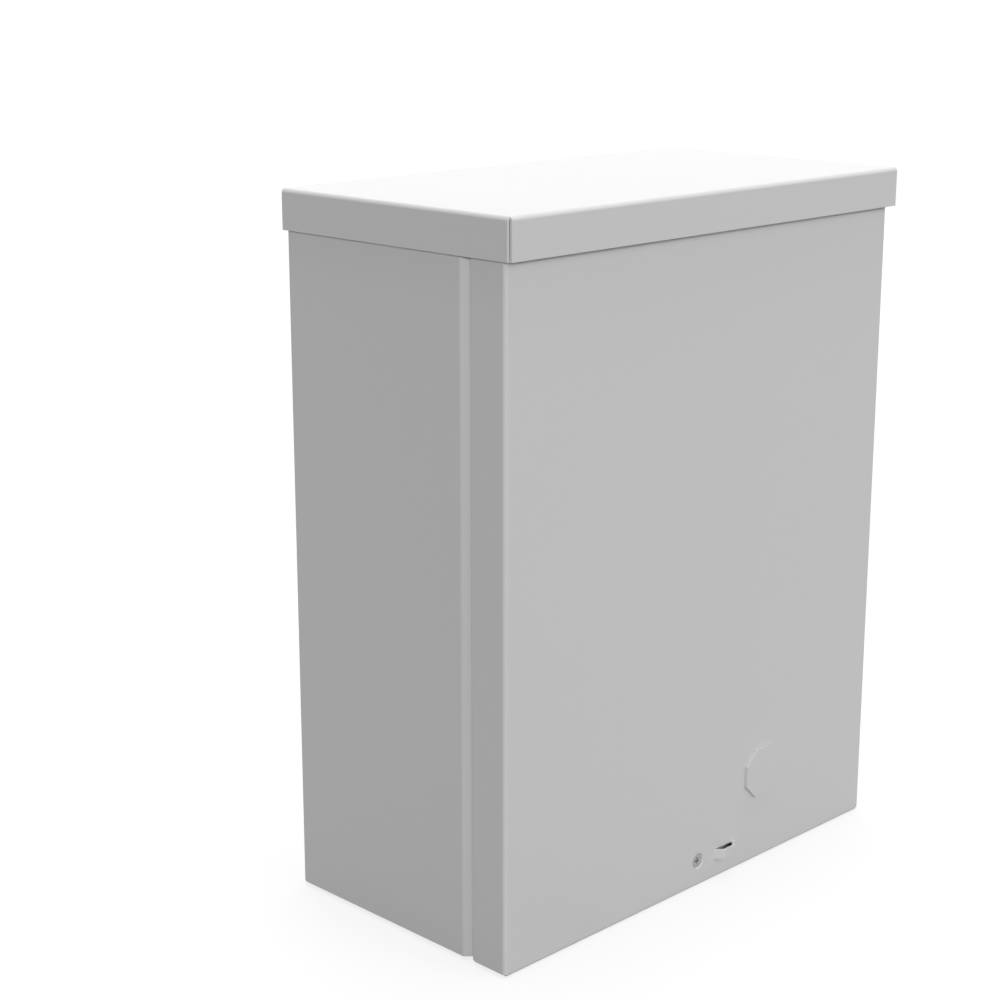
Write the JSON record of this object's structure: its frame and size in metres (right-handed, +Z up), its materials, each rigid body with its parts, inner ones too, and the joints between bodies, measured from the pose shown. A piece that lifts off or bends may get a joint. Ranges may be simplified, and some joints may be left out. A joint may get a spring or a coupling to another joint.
{
  "type": "screw-cover electrical enclosure",
  "caption": "Rainproof sheet steel electrical enclosure with a drip shield on top and a slip-on cover held by a captive screw at its lower edge.",
  "frame": {"origin": "bottom centre of the box over everything: X 0 in the middle of the width, Y 0 in the middle of the depth from the drip shield's front to the mounting pads' faces, Z 0 at the cover's lower edge", "axes": "+X to the right seen from the front, +Y to the rear (the cover faces -Y), +Z up"},
  "size_m": [0.3098, 0.1674, 0.3879],
  "materials": {
    "paint": "light grey polyester powder paint, fine orange peel, satin",
    "plated_steel": "bright zinc plated steel",
    "green_steel": "green dyed zinc plate"
  },
  "bodies": {
    "box": {"body_wrap": "paint", "top_plate": "paint", "bottom_plate": "paint", "drip_shield": "paint", "ground_screw": "green_steel"},
    "cover": {"front_cover": "paint", "badge_plate": "paint"},
    "screw": {"cover_screw": "plated_steel"},
    "nut": {"nut_plate": "plated_steel"}
  },
  "joints": [
    {"name": "cover_slide", "type": "slide", "parent": "box", "child": "cover", "axis": [0, 0, -1], "range_m": [0, 0.388]},
    {"name": "screw_turn", "type": "hinge", "parent": "cover", "child": "screw", "pos_m": [0, -0.078, 0.0154], "axis": [0, -1, 0], "range_deg": [0, 908]},
    {"name": "nut_travel", "type": "slide", "parent": "cover", "child": "nut", "axis": [0, 1, 0], "range_m": [0, 0.002]}
  ],
  "couplings": [
    {"joint": "screw_turn", "follows": "nut_travel", "rad_per_m": 7915.8}
  ]
}
